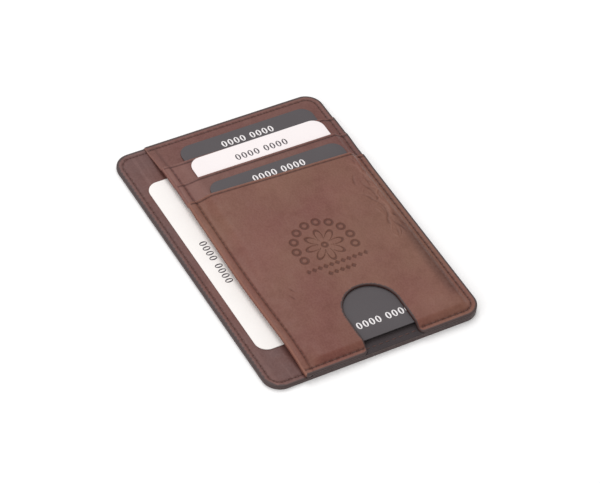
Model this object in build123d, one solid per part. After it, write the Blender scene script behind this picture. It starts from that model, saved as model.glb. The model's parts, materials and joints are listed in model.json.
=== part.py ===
"""Slim leather card wallet: a sewn back, a side-opening centre pocket, and a front stack with three
card slots and a thumb notch, holding four bank-size board cards.

Millimetres. The wallet lies on its back: +X is to the right and +Y towards the card mouths, as read
from the front, and +Z comes out of the front face. The origin is the centre of the back face.

Every sheet is draped over what lies under it. A sheet's underside is the top of a "mould", which is
a flat bed with raised frusta where a pocket bulges, and the sheet is the mould moved up by the
sheet's thickness, less the mould, cut to the sheet's outline.
"""

from build123d import *
from functools import cache
from math import atan2, cos, degrees, sin
import os

# ---- driving dimensions -------------------------------------------------------------------------
WIDTH = 83.5
HEIGHT = 119.0
CORNER_R = 6.5  # of the outline
STACK_LEFT = -28.5  # left edge of the front stack; the strip beside it shows the pocket's liner

LEATHER = 0.8  # back panel, liner and front panel
DIVIDER_T = 0.7
STRIP_T = 0.6  # the leather facing of a slot
LINING_T = 0.12  # pocket fabric
INTERLINING_T = 0.1
INTERLINING_INSET = 4.0

CARD_W, CARD_H = 53.98, 85.6  # the outline of a bank card
CARD_T = 0.36  # stiff paper board
CARD_R = 4.5
CARD_X = 8.3  # centre of the three slot cards
CARD_TOPS = (53.1, 44.95, 30.9)  # upper edge of the card in slot 1, 2 and 3
SIDE_CARD_LEFT, SIDE_CARD_TOP = -36.8, 42.4

LIPS_LEFT = (46.3, 36.0, 26.3)  # where the mouths of slot 1, slot 2 and the front panel meet the
LIPS_RIGHT = (44.7, 35.3, 23.2)  # stack's left edge and the outline: each falls a little to the right
STRIP_DEPTH = 14.0  # how far a facing runs down from its mouth
LIP_TURN = 2.0  # a slot's fabric starts this far below its mouth

SEAM_INSET = 2.3  # the sewn line, in from the outline
SIDE_SEAM_X = -25.3  # the sewn line along the front stack's free edge
SIDE_SEAM_END = -46.0  # its lower end
THREAD, THREAD_DEPTH = 0.5, 0.3  # a line of thread, and how deep it is pulled down into the leather

NOTCH_X, NOTCH_HALF = 6.2, 10.2  # thumb notch: its centre line and half width
NOTCH_TOP = -33.5
NOTCH_FLARE = 2.2  # radius of its two outer corners

# ---- levels, from the back face up --------------------------------------------------------------
AIR = 0.04  # between a card and the sheet over or under it
MOUTH_AIR = 0.06  # under a card at the mouth of the slot behind it
BACK_TOP = LEATHER
LINER_TOP = BACK_TOP + LEATHER
SIDE_CARD_Z = LINER_TOP + AIR
POCKET_GAP = 0.4  # centre pocket, under the divider
LIFT = 1.5  # how much higher the free edge of the stack stands than the rest of the pocket
SEAM_TOP = LINER_TOP + DIVIDER_T  # top of the divider where it is sewn down
DIVIDER_TOP = SEAM_TOP + POCKET_GAP
CARD_1_Z = DIVIDER_TOP + LINING_T + AIR
LINING_1_Z = CARD_1_Z + CARD_T + AIR
STRIP_1_Z = LINING_1_Z + LINING_T

# ---- plan of the bulges -------------------------------------------------------------------------
FAR = 90.0  # past every edge
RAMP_RIGHT = 38.6  # foot of the bulge over the cards
BULGE_LEFT = CARD_X - CARD_W / 2 - 1.3
BULGE_RIGHT = CARD_X + CARD_W / 2 + 0.5
BULGE_BOTTOM = CARD_TOPS[2] - CARD_H - 0.3
RAMP_BOTTOM = BULGE_BOTTOM - 1.5
RAMP_LEFT = -30.2
SLEEVE_LEFT, SLEEVE_RIGHT = CARD_X - CARD_W / 2 - 1.0, CARD_X + CARD_W / 2 + 0.4
SLEEVE_REST = 0.4  # from a card's lower edge to where its slot's fabric starts to drop
SLEEVE_DROP = 1.2  # length of that slope
FOOT = 2.3  # of a slot's fabric, sewn to the divider under its card


class Slope:
    """A level that rises with y: z at y = 0, and the rise per millimetre."""

    def __init__(self, z0, rise=0.0):
        self.z0, self.rise = z0, rise

    @classmethod
    def through(cls, y_low, z_low, y_high, z_high):
        rise = (z_high - z_low) / (y_high - y_low)
        return cls(z_low - rise * y_low, rise)

    def at(self, y):
        return self.z0 + self.rise * y

    def up(self, dz):
        return Slope(self.z0 + dz, self.rise)

    def plane(self, x, y):
        """The plane of this level, with its origin over (x, y)."""
        angle = atan2(self.rise, 1)
        return Plane(origin=(x, y, self.at(y)), x_dir=(1, 0, 0), z_dir=(0, -sin(angle), cos(angle)))


class Mouth:
    """A mouth line, straight from the stack's left edge to the outline."""

    def __init__(self, y_left, y_right):
        self.y_left, self.y_right = y_left, y_right

    def at(self, x):
        share = (x - STACK_LEFT) / (WIDTH / 2 - STACK_LEFT)
        return self.y_left + share * (self.y_right - self.y_left)

    def below(self, by=0.0):
        """Everything at least that far below the line, as a tall prism."""
        corners = ((-FAR, -FAR), (FAR, -FAR), (FAR, self.at(FAR) - by), (-FAR, self.at(-FAR) - by))
        return extrude(Polygon(*corners, align=None), amount=30)


MOUTHS = [Mouth(left, right) for left, right in zip(LIPS_LEFT, LIPS_RIGHT)]
LIPS = [mouth.at(CARD_X) for mouth in MOUTHS]

# A card lies on the facing of the slot behind it near the top, and on that slot's fabric near the
# bottom, so each card leans forward a little more than the one behind it.
LEVEL = Slope(0.0)
CARD_1 = Slope(CARD_1_Z)
CARD_2 = Slope.through(
    CARD_TOPS[0] - CARD_H, STRIP_1_Z + AIR, LIPS[0] - STRIP_DEPTH, STRIP_1_Z + STRIP_T + MOUTH_AIR
)
LINING_2 = CARD_2.up(CARD_T + AIR)
STRIP_2 = LINING_2.up(LINING_T)
CARD_3 = Slope.through(
    CARD_TOPS[1] - CARD_H,
    STRIP_2.at(CARD_TOPS[1] - CARD_H) + AIR,
    LIPS[1] - STRIP_DEPTH,
    STRIP_2.at(LIPS[1] - STRIP_DEPTH) + STRIP_T + MOUTH_AIR,
)
FRONT = CARD_3.up(CARD_T + AIR)


def bed(z):
    """Everything up to z."""
    depth = 10.0
    return Pos(0, 0, z - depth / 2) * Box(2 * FAR, 2 * FAR, depth)


def block(x0, x1, y0, y1, z0=-20.0, z1=30.0):
    return Pos((x0 + x1) / 2, (y0 + y1) / 2, (z0 + z1) / 2) * Box(x1 - x0, y1 - y0, z1 - z0)


def rounded(x0, x1, y0, y1, r, plane_at):
    """A rounded rectangle over that plan area, in the plane that plane_at gives for its centre."""
    x, y = (x0 + x1) / 2, (y0 + y1) / 2
    plane = plane_at(x, y)
    return plane * RectangleRounded(x1 - x0, (y1 - y0) / plane.z_dir.Z, r)


def frustum(foot, top, z_foot, level, r_foot, r_top):
    """A bulge between a plan rectangle (x0, x1, y0, y1) at z_foot and a smaller one on a level."""
    lower = rounded(*foot, r_foot, Slope(z_foot).plane)
    upper = rounded(*top, r_top, level.plane)
    return loft([lower, upper], ruled=True)


def outline(x_left=-WIDTH / 2):
    """The wallet's outline as a tall prism, right of x_left."""
    whole = extrude(RectangleRounded(WIDTH, HEIGHT, CORNER_R), amount=30)
    if x_left <= -WIDTH / 2:
        return whole
    return whole & block(x_left, FAR, -FAR, FAR)


def drape(mould, thickness, area):
    """A sheet of that thickness laid over the mould and cut to the prism area."""
    sheet = ((Pos(0, 0, thickness) * mould) - mould) & area
    return max(sheet.solids(), key=lambda solid: solid.volume)


# ---- moulds -------------------------------------------------------------------------------------
@cache
def pocket_mould(raise_by=0.0):
    """What the divider is draped over: the liner with the centre pocket's space, open on the left."""
    z = LINER_TOP + raise_by
    space = frustum(
        (-FAR, RAMP_RIGHT - 0.3, -56.7, 56.7),
        (-FAR, BULGE_RIGHT + 0.7, -53.5, 54.0),
        z,
        Slope(z + POCKET_GAP),
        5.0,
        4.0,
    )
    mouth = frustum(
        (-FAR, BULGE_LEFT - 0.1, -54.0, 55.0),
        (-FAR, STACK_LEFT + 4.0, -47.0, 49.0),
        z + POCKET_GAP - 0.2,
        Slope(z + POCKET_GAP + LIFT),
        5.0,
        4.0,
    )
    return bed(z) + space + mouth


def slot_mould(level, raise_by=0.0):
    """The divider's top with one slot's bulge on it, open at the top."""
    base = pocket_mould(DIVIDER_T + raise_by)
    z = SEAM_TOP + raise_by
    bulge = frustum(
        (RAMP_LEFT, RAMP_RIGHT, RAMP_BOTTOM, FAR - 10),
        (BULGE_LEFT, BULGE_RIGHT, BULGE_BOTTOM, FAR - 12),
        z,
        level,
        5.0,
        4.0,
    )
    return base + bulge


# ---- back ---------------------------------------------------------------------------------------
def back_panel():
    return outline() & block(-FAR, FAR, -FAR, FAR, 0, BACK_TOP)


def interlining():
    inset = 2 * INTERLINING_INSET
    plan = RectangleRounded(WIDTH - inset, HEIGHT - inset, CORNER_R - INTERLINING_INSET)
    return Pos(0, 0, BACK_TOP) * extrude(plan, amount=INTERLINING_T)


def pocket_liner():
    return (outline() & block(-FAR, FAR, -FAR, FAR, BACK_TOP, LINER_TOP)) - interlining()


# ---- front stack --------------------------------------------------------------------------------
def divider_panel():
    return drape(pocket_mould(), DIVIDER_T, outline(STACK_LEFT))


def divider_lining():
    """Fabric over the divider's face, below the slots' mouths; it shows in the thumb notch."""
    area = outline(STACK_LEFT) & MOUTHS[2].below(0.3)
    return drape(pocket_mould(DIVIDER_T), LINING_T, area)


def slot_strip(level, mouth, next_mouth):
    """A slot's leather facing: arms out to both side seams, and a tab under the next slot."""
    arms = (outline(STACK_LEFT) & mouth.below()) - next_mouth.below(-0.1)
    tab_top = next_mouth.at(SLEEVE_LEFT) + 0.2
    tab = block(SLEEVE_LEFT, SLEEVE_RIGHT - 0.2, mouth.at(CARD_X) - STRIP_DEPTH, tab_top)
    return drape(slot_mould(level), STRIP_T, arms + tab)


def slot_lining(level, lip, card_top):
    """A slot's fabric, from just under its mouth to a foot that is sewn to the divider."""
    y_end = card_top - CARD_H - SLEEVE_REST
    y_foot = y_end - SLEEVE_DROP
    sleeve = frustum(
        (-FAR, FAR, y_foot, FAR - 10),
        (-FAR + 1, FAR - 1, y_end, FAR - 12),
        DIVIDER_TOP + LINING_T,
        level,
        1.0,
        1.0,
    )
    mould = bed(DIVIDER_TOP + LINING_T) + sleeve
    area = block(SLEEVE_LEFT, SLEEVE_RIGHT, y_foot - FOOT, lip - LIP_TURN)
    return drape(mould, LINING_T, area)


def notch_prism():
    """The thumb notch: a round-headed slot, with its outer corners rounded into the bottom edge."""
    head_y = NOTCH_TOP - NOTCH_HALF
    edge_y = -HEIGHT / 2
    left, right = NOTCH_X - NOTCH_HALF, NOTCH_X + NOTCH_HALF
    r = NOTCH_FLARE
    with BuildSketch() as plan:
        with BuildLine():
            Line((right + r, edge_y - 1), (right + r, edge_y))
            RadiusArc((right + r, edge_y), (right, edge_y + r), -r)
            Line((right, edge_y + r), (right, head_y))
            ThreePointArc((right, head_y), (NOTCH_X, NOTCH_TOP), (left, head_y))
            Line((left, head_y), (left, edge_y + r))
            RadiusArc((left, edge_y + r), (left - r, edge_y), -r)
            Line((left - r, edge_y), (left - r, edge_y - 1))
            Line((left - r, edge_y - 1), (right + r, edge_y - 1))
        make_face()
    return extrude(plan.sketch, amount=30)


def front_panel():
    area = (outline(STACK_LEFT) & MOUTHS[2].below()) - notch_prism()
    return drape(slot_mould(FRONT, LINING_T), LEATHER, area)


# ---- cards --------------------------------------------------------------------------------------
def card(x, y_top, level):
    y = y_top - CARD_H / 2
    plan = RectangleRounded(CARD_W, CARD_H, CARD_R)
    return level.plane(x, y) * extrude(plan, amount=CARD_T)


# ---- sewing -------------------------------------------------------------------------------------
# A line of stitches is one run of thread, pulled down flush into the leather it crosses.
def seam_band(z_top):
    """The sewn line inside the outline, reaching down from z_top."""
    rings = []
    for inset in (SEAM_INSET - THREAD / 2, SEAM_INSET + THREAD / 2):
        rings.append(RectangleRounded(WIDTH - 2 * inset, HEIGHT - 2 * inset, CORNER_R - inset))
    return Pos(0, 0, z_top - THREAD_DEPTH) * extrude(rings[0] - rings[1], amount=THREAD_DEPTH)


@cache
def perimeter_thread():
    """The upper thread, on whichever sheet is uppermost on each stretch of the outline."""
    divider, facing, lining = SEAM_TOP, SEAM_TOP + STRIP_T, SEAM_TOP + LINING_T
    stack = block(STACK_LEFT, FAR, -FAR, FAR)
    below_1, below_front = MOUTHS[0].below(), MOUTHS[2].below()
    runs = [
        seam_band(LINER_TOP) - stack,
        (seam_band(divider) & stack) - below_1,
        (seam_band(facing) & stack & below_1) - below_front,
        (seam_band(lining + LEATHER) & stack & below_front) - notch_prism(),
        seam_band(lining) & stack & below_front & notch_prism(),
    ]
    return Compound(children=[solid for run in runs for solid in run.solids()])


@cache
def perimeter_bobbin_thread():
    """The lower thread of the same seam, flush with the back face."""
    return seam_band(THREAD_DEPTH)


@cache
def side_thread():
    """The seam down the stack's free edge, in the two facings and the front panel."""
    mouth_top = DIVIDER_TOP + LIFT
    facing, front = mouth_top + STRIP_T, mouth_top + LINING_T + LEATHER
    x0, x1 = SIDE_SEAM_X - THREAD / 2, SIDE_SEAM_X + THREAD / 2
    lip_1, lip_2, lip_3 = (mouth.at(SIDE_SEAM_X) for mouth in MOUTHS)
    spans = [
        (lip_2 + 1, lip_1 - 1, facing),
        (lip_3 + 1, lip_2 - 1, facing),
        (SIDE_SEAM_END, lip_3 - 1, front),
    ]
    return Compound(children=[block(x0, x1, a, b, z - THREAD_DEPTH, z) for a, b, z in spans])


@cache
def foot_thread(card_top):
    """The seam that closes a slot under its card, through the fabric's foot and the divider."""
    y = card_top - CARD_H - SLEEVE_REST - SLEEVE_DROP - FOOT / 2
    z = DIVIDER_TOP + 2 * LINING_T
    depth = 2 * LINING_T + DIVIDER_T / 2
    x0, x1 = SLEEVE_LEFT + 1, SLEEVE_RIGHT - 1
    return block(x0, x1, y - THREAD / 2, y + THREAD / 2, z - depth, z)


def sewn(sheet, *threads):
    """The sheet with the threads' grooves in it."""
    for thread in threads:
        sheet = sheet - thread
    return sheet


# ---- everything ---------------------------------------------------------------------------------
PARTS = {
    "back_panel": lambda: sewn(back_panel(), perimeter_bobbin_thread()),
    "back_interlining": interlining,
    "pocket_liner": lambda: sewn(pocket_liner(), perimeter_thread()),
    "divider_panel": lambda: sewn(
        divider_panel(), perimeter_thread(), foot_thread(CARD_TOPS[0]), foot_thread(CARD_TOPS[1])
    ),
    "divider_lining": lambda: sewn(
        divider_lining(), perimeter_thread(), foot_thread(CARD_TOPS[0]), foot_thread(CARD_TOPS[1])
    ),
    "slot_1_strip": lambda: sewn(
        slot_strip(Slope(STRIP_1_Z), MOUTHS[0], MOUTHS[1]), perimeter_thread(), side_thread()
    ),
    "slot_1_lining": lambda: sewn(
        slot_lining(Slope(LINING_1_Z), LIPS[0], CARD_TOPS[0]), foot_thread(CARD_TOPS[0])
    ),
    "slot_2_strip": lambda: sewn(
        slot_strip(STRIP_2, MOUTHS[1], MOUTHS[2]), perimeter_thread(), side_thread()
    ),
    "slot_2_lining": lambda: sewn(
        slot_lining(LINING_2, LIPS[1], CARD_TOPS[1]), foot_thread(CARD_TOPS[1])
    ),
    "front_panel": lambda: sewn(front_panel(), perimeter_thread(), side_thread()),
    "perimeter_thread": perimeter_thread,
    "perimeter_bobbin_thread": perimeter_bobbin_thread,
    "side_edge_thread": side_thread,
    "slot_1_foot_thread": lambda: foot_thread(CARD_TOPS[0]),
    "slot_2_foot_thread": lambda: foot_thread(CARD_TOPS[1]),
    "card_slot_1": lambda: card(CARD_X, CARD_TOPS[0], CARD_1),
    "card_slot_2": lambda: card(CARD_X, CARD_TOPS[1], CARD_2),
    "card_slot_3": lambda: card(CARD_X, CARD_TOPS[2], CARD_3),
    "card_centre_pocket": lambda: card(
        SIDE_CARD_LEFT + CARD_W / 2, SIDE_CARD_TOP, Slope(SIDE_CARD_Z)
    ),
}

os.makedirs("parts", exist_ok=True)
for name, make in PARTS.items():
    export_step(make(), f"parts/{name}.step")

for name, level in (("card_slot_2", CARD_2), ("card_slot_3", CARD_3)):
    lean = atan2(level.rise, 1)
    print(f"{name} slides along (0, {cos(lean):.6f}, {sin(lean):.6f})")
print(f"front panel: {FRONT.at(LIPS[2]) + LEATHER:.2f} high at its mouth, "
      f"{FRONT.at(BULGE_BOTTOM) + LEATHER:.2f} at its foot, "
      f"{SEAM_TOP + LINING_T + LEATHER:.2f} at the seam")
print(f"card 3 top at the notch: {CARD_3.at(NOTCH_TOP) + CARD_T:.3f}")
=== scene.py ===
"""Looks of the slim leather card wallet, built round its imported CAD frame.

The wallet lies on its back: +X right, +Y towards the card mouths, +Z out of the front. Shapes are
worked out in millimetres and turned into metres when a mesh is made. Every panel and card is a
"leaf": an outline with a top and an underside given as heights over the plan, and rounded edges.
Heights, shades and zones are functions of arrays of x and y.
"""

import json
from math import atan2, ceil, cos, hypot, pi, radians, sin, sqrt, tan

import bpy
import numpy as np
from mathutils import Matrix, Vector
from mathutils.geometry import delaunay_2d_cdt


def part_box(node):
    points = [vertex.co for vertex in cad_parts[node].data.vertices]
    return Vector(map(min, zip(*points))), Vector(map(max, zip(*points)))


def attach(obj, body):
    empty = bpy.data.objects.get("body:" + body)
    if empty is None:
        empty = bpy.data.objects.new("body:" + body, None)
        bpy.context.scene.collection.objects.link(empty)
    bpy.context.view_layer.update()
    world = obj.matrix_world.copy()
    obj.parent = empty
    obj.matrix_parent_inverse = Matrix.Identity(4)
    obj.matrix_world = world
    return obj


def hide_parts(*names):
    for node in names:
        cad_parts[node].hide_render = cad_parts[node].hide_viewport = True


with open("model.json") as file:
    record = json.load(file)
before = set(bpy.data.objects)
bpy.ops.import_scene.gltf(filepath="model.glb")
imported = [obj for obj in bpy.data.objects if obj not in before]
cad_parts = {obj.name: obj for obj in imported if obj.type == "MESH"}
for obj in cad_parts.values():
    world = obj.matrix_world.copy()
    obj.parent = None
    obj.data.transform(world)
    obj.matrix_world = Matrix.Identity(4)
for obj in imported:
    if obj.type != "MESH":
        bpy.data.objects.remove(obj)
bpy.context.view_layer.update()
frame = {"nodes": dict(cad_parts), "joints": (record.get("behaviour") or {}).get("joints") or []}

MM = 0.001


def extent(node):
    """Lowest and highest corner of a CAD node, in millimetres."""
    low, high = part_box(node)
    return np.array(low) / MM, np.array(high) / MM


# ---- measures, in millimetres ----
(LEFT, BOTTOM, _), (RIGHT, TOP, BACK_TOP) = extent("back_panel")
LINER_TOP = extent("pocket_liner")[1][2]
STACK_LEFT = extent("divider_panel")[0][0]
CORNER_R = 6.5

DIVIDER_T, LINING_T, STRIP_T, FRONT_T = 0.7, 0.12, 0.6, 0.8  # thicknesses
TURNED_T = 0.66  # of what is turned under along the stack's free edge
AIR = 0.04  # between a card and the leaf over or under it
HAIR = 0.004  # keeps an underside off the face below it
SEAM_TOP = LINER_TOP + DIVIDER_T
POCKET_GAP = 0.4
GAPE = 1.0  # how much further the pocket's mouth stands open
BOW = 0.8  # how far the stack's free edge bows out at most
INNER_LEFT = STACK_LEFT + 2.6  # left edge of a leaf that ends inside the turned edge
COVERED = 1.5  # how far below a mouth the hidden edge of the leaf under it lies

SEAM_INSET = 2.3
GROOVE_DEPTH, HOLE_DEPTH = 0.13, 0.28  # of the perimeter seam
LINE_DEPTH = 0.18  # of the tooled line below a mouth
STITCH_PITCH, STITCH_LENGTH = 2.6, 1.95
HOLE_PLACE = 0.47 * STITCH_LENGTH  # of a needle hole, from the middle of its stitch
THREAD_R = 0.16
CREASE_X = -25.3  # the sewn crease along the stack's free edge
HUMP, CREASE_DEPTH = 0.24, 0.30  # of the turned edge, and of its crease
NOTCH_X, NOTCH_HALF, NOTCH_TOP, NOTCH_FLARE = 6.2, 10.2, -33.5, 2.2

# The pressed ornament: its centre, and the millimetres of one unit of the other measures.
EMBLEM_X, EMBLEM_Y, EMBLEM_SIZE = 5.4, -12.0, 1.2
ARC_RINGS, ARC_RADIUS, ARC_START, ARC_STEP = 10, 9.0, 200.0, 24.4  # angles in degrees
RING_RADIUS, PETAL_LENGTH, VEIN_RADIUS = 1.1, 6.2, 0.8
BEAD_STEP = 1.9
BEAD_ROWS = ((-7.4, 11), (-10.3, 5))  # (height of the row, beads in it)


class Mouth:
    """A mouth line, straight from the stack's left edge down to the outline on the right."""

    def __init__(self, node, fall):
        self.left = extent(node)[1][1]
        self.right = self.left - fall

    def at(self, x):
        """The line's y at x."""
        return self.left + (x - STACK_LEFT) / (RIGHT - STACK_LEFT) * (self.right - self.left)


LIP_1 = Mouth("slot_1_strip", 1.6)
LIP_2 = Mouth("slot_2_strip", 0.7)
LIP_3 = Mouth("front_panel", 3.1)


class Card:
    """A card's body, node and plane; rise is how much its height grows per millimetre of y."""

    def __init__(self, body, node):
        self.body, self.node = body, node
        self.low, self.high = extent(node)
        axis = next(j["axis"] for j in frame["joints"] if j["child"] == body)
        self.rise = axis[2] / axis[1] if axis[1] else 0.0
        self.thick = self.high[2] - self.low[2] - self.rise * (self.high[1] - self.low[1])

    def under(self, x, y):
        """Height of the underside; 0 * x gives it the shape of an array x."""
        return self.low[2] + self.rise * (y - self.low[1]) + 0 * x

    def top(self, x, y):
        """Height of the face."""
        return self.under(x, y) + self.thick


CARD_1 = Card("slot_1_card", "card_slot_1")
CARD_2 = Card("slot_2_card", "card_slot_2")
CARD_3 = Card("slot_3_card", "card_slot_3")
SIDE_CARD = Card("pocket_card", "card_centre_pocket")


# ---- heights over the plan ----
def ramp(v, start, end):
    """0 at start, 1 at end, with a smooth turn at both."""
    t = np.clip((v - start) / (end - start), 0, 1)
    return t * t * (3 - 2 * t)


def soft_max(a, b, k):
    """The greater of a and b, rounded off where they are within k of each other."""
    h = np.clip(0.5 + 0.5 * (a - b) / k, 0, 1)
    return b * (1 - h) + a * h + k * h * (1 - h)


def ridge(distance, width):
    """1 at no distance, falling off to both sides over about width."""
    return np.exp(-((distance / width) ** 2))


def inset(x, y):
    """Distance inside the wallet's outline."""
    qx = np.abs(x) - (RIGHT - CORNER_R)
    qy = np.abs(y) - (TOP - CORNER_R)
    corner = np.hypot(np.maximum(qx, 0), np.maximum(qy, 0))
    return CORNER_R - corner - np.minimum(np.maximum(qx, qy), 0)


def pocket_rise(x, y):
    """How far the stack stands off the liner: the pocket's gap, and the gape at its mouth."""
    ends = ramp(y, BOTTOM + 3.0, BOTTOM + 8.0) * ramp(y, TOP - 3.0, TOP - 8.0)
    gap = POCKET_GAP * ends * ramp(x, RIGHT - 3.2, RIGHT - 6.5)
    mouth = ramp(y, BOTTOM + 3.5, BOTTOM + 18) * ramp(y, TOP - 4, TOP - 18)
    return gap + GAPE * mouth * ramp(x, -15.0, STACK_LEFT)


def bow(x, y):
    """How far a point of the stack lies out to the left of its straight place."""
    return BOW * ridge(y + 14.0, 26.0) * ramp(x, -12.0, STACK_LEFT)


def sway(x, y):
    """Slow unevenness of a supple panel, 0 or more."""
    a = np.sin(x / 9.3 + 0.7) * np.sin(y / 13.1 + 1.9)
    b = np.sin(x / 5.1 - y / 7.7 + 0.4)
    return 0.11 + 0.075 * a + 0.035 * b


def over_card(x, y, card, cover, base):
    """Top of a leaf that lies on a card, cover above it, and comes down to base round it."""
    across = ramp(x, CREASE_X - 0.4, card.low[0] - 0.3) * ramp(x, RIGHT - 2.4, card.high[0] + 0.1)
    along = ramp(y, BOTTOM + 1.8, BOTTOM + 4.8)
    lift = soft_max(card.top(x, y) + cover - base, 0.0, 0.5)
    return base + lift * across * along


def turned_edge(x):
    """The hump of the folded edge at the stack's free side, and the crease beside it."""
    half = (CREASE_X - STACK_LEFT) / 2
    hump = np.clip(1 - ((x - STACK_LEFT - half) / half) ** 2, 0, 1)
    return HUMP * hump - CREASE_DEPTH * ridge(x - CREASE_X, 0.36)


def divider_plain(x, y):
    """Top of the divider, kept low enough under the lowest card for the card and the lining."""
    height = SEAM_TOP + pocket_rise(x, y)
    room = CARD_1.under(x, y) - AIR - LINING_T
    under_card = ramp(x, CARD_1.low[0] - 2.0, CARD_1.low[0] - 0.2)
    return height - np.maximum(height - room, 0) * under_card


def slot_plain(x, y, card, cover, thickness, lip, lap):
    """Top of a facing or of the front panel; near its lip it laps over the leaf before it."""
    flange = SEAM_TOP + thickness + lap * ramp(lip.at(x) - y, 8.0, 1.5)
    return over_card(x, y, card, cover, flange + pocket_rise(x, y))


def strip_1_plain(x, y):
    """Top of the first slot's facing, without its turned edge."""
    return slot_plain(x, y, CARD_1, AIR + LINING_T + STRIP_T, STRIP_T, LIP_1, 0.0)


def strip_2_plain(x, y):
    """Top of the second slot's facing, without its turned edge."""
    return slot_plain(x, y, CARD_2, AIR + LINING_T + STRIP_T, STRIP_T, LIP_2, 0.35)


def front_plain(x, y):
    """Top of the front panel, without its turned edge."""
    thickness = LINING_T + FRONT_T
    height = slot_plain(x, y, CARD_3, AIR + FRONT_T, thickness, LIP_3, 0.3)
    return height + sway(x, y) * ramp(inset(x, y), 2.0, 6.0)


def lining_plain(x, y):
    """Top of the fabric on the divider."""
    return divider_plain(x, y) + LINING_T


def crease_field(seed, count, low, high, lean, deep):
    """Random short creases (x, y, lean, length, width, depth) over a plan box."""
    rng = np.random.default_rng(seed)
    x, y = rng.uniform(low[0], high[0], count), rng.uniform(low[1], high[1], count)
    turns = rng.normal(lean, 0.5, count)
    lengths, widths = rng.uniform(1.5, 5.0, count), rng.uniform(0.16, 0.34, count)
    depths = rng.uniform(-deep, deep, count)
    return np.stack([x, y, turns, lengths, widths, depths], axis=1)


LONG_CREASES = (
    (33.2, 4.0, 1.75, 9.0, 0.4, 0.16),
    (34.6, -3.0, 1.6, 8.0, 0.35, -0.18),
    (32.6, -8.5, 1.2, 7.0, 0.4, 0.18),
    (35.2, 12.0, 1.7, 9.0, 0.35, -0.16),
    (31.4, 0.5, 2.2, 5.5, 0.35, 0.16),
    (34.2, -15.0, 1.8, 7.0, 0.4, 0.15),
    (35.6, -9.5, 1.5, 5.0, 0.5, 0.17),
    (30.2, 10.5, 1.3, 4.5, 0.35, 0.15),
    (-15.2, -25.6, 1.87, 2.4, 0.22, 0.2),
    (-16.9, -28.7, 1.87, 2.5, 0.22, 0.2),
)
FINE_CREASES = np.vstack([
    crease_field(3, 46, (30.5, -20.0), (37.0, 9.0), 1.7, 0.17),
    crease_field(5, 16, (33.5, 9.0), (37.5, 21.0), 1.6, 0.12),
    np.array(LONG_CREASES),
])


def wrinkles(x, y):
    """Fine creases where the panel bends down beside the card, and a few light scratches."""
    total = 0 * x
    for cx, cy, lean, long, wide, deep in FINE_CREASES:
        u = (x - cx) * cos(lean) + (y - cy) * sin(lean)
        v = (y - cy) * cos(lean) - (x - cx) * sin(lean) + 0.3 * np.sin(u / 1.3 + cx)
        total = total + deep * ridge(u, long / 2) * ridge(v, wide)
    return total


def emblem(x, y):
    """A pressed ornament: an arc of small rings round a flower, over two rows of beads."""
    u, v = (x - EMBLEM_X) / EMBLEM_SIZE, (y - EMBLEM_Y) / EMBLEM_SIZE
    r, angle = np.hypot(u, v), np.arctan2(v, u)
    petal = PETAL_LENGTH * np.abs(np.cos(4 * angle)) ** 0.55
    flower = ramp(np.abs(r - petal + 0.3), 0.55, 0.25) * ramp(r, 1.7, 2.0)
    vein = ramp(np.abs(r - VEIN_RADIUS), 0.42, 0.2)
    pressed = np.maximum(flower, vein)
    for i in range(ARC_RINGS):
        turn = radians(ARC_START - ARC_STEP * i)
        away = np.hypot(u - ARC_RADIUS * cos(turn), v - ARC_RADIUS * sin(turn))
        pressed = np.maximum(pressed, ramp(np.abs(away - RING_RADIUS), 0.48, 0.22))
    for row_v, count in BEAD_ROWS:
        for i in range(count):
            bead_u = (i - (count - 1) / 2) * BEAD_STEP
            away = np.abs(u - bead_u) + np.abs(v - row_v)
            pressed = np.maximum(pressed, ramp(away, 1.05, 0.6))
    return pressed


# ---- outlines ----
def rounded_path(corners, step):
    """Points and outward normals round a closed outline of (x, y, radius), anticlockwise."""
    arc_step = step / 1.4
    shortest = 0.05  # of a straight run that gets points of its own
    arcs = []
    for i, (px, py, r) in enumerate(corners):
        ax, ay = px - corners[i - 1][0], py - corners[i - 1][1]
        nx, ny, _ = corners[(i + 1) % len(corners)]
        start, end = atan2(ay, ax), atan2(ny - py, nx - px)
        turn = (end - start + pi) % (2 * pi) - pi
        cut = r * tan(abs(turn) / 2)
        side = 1 if turn > 0 else -1
        sx, sy = px - cut * cos(start), py - cut * sin(start)
        cx, cy = sx - side * r * sin(start), sy + side * r * cos(start)
        count = max(4, ceil(r * abs(turn) / arc_step))
        arc = []
        for k in range(count + 1):
            heading = start + turn * k / count
            out_x, out_y = sin(heading), -cos(heading)
            arc.append((cx + side * r * out_x, cy + side * r * out_y, out_x, out_y))
        arcs.append(arc)
    path = []
    for i, arc in enumerate(arcs):
        x0, y0 = arcs[i - 1][-1][:2]
        x1, y1, nx, ny = arc[0]
        length = hypot(x1 - x0, y1 - y0)
        count = ceil(length / step) if length > shortest else 0
        for k in range(1, count):
            share = k / count
            path.append((x0 + share * (x1 - x0), y0 + share * (y1 - y0), nx, ny))
        path.extend(arc if length > shortest else arc[1:])
    path = np.array(path)
    return path[:, :2], path[:, 2:]


def box_corners(low, high, r):
    """Corners of a rounded rectangle, as rounded_path takes them."""
    return [(high[0], high[1], r), (low[0], high[1], r), (low[0], low[1], r), (high[0], low[1], r)]


def outline_corners(by=0.0):
    """Corners of the wallet's outline, or of a line that far inside it."""
    return box_corners((LEFT + by, BOTTOM + by), (RIGHT - by, TOP - by), CORNER_R - by)


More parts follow.
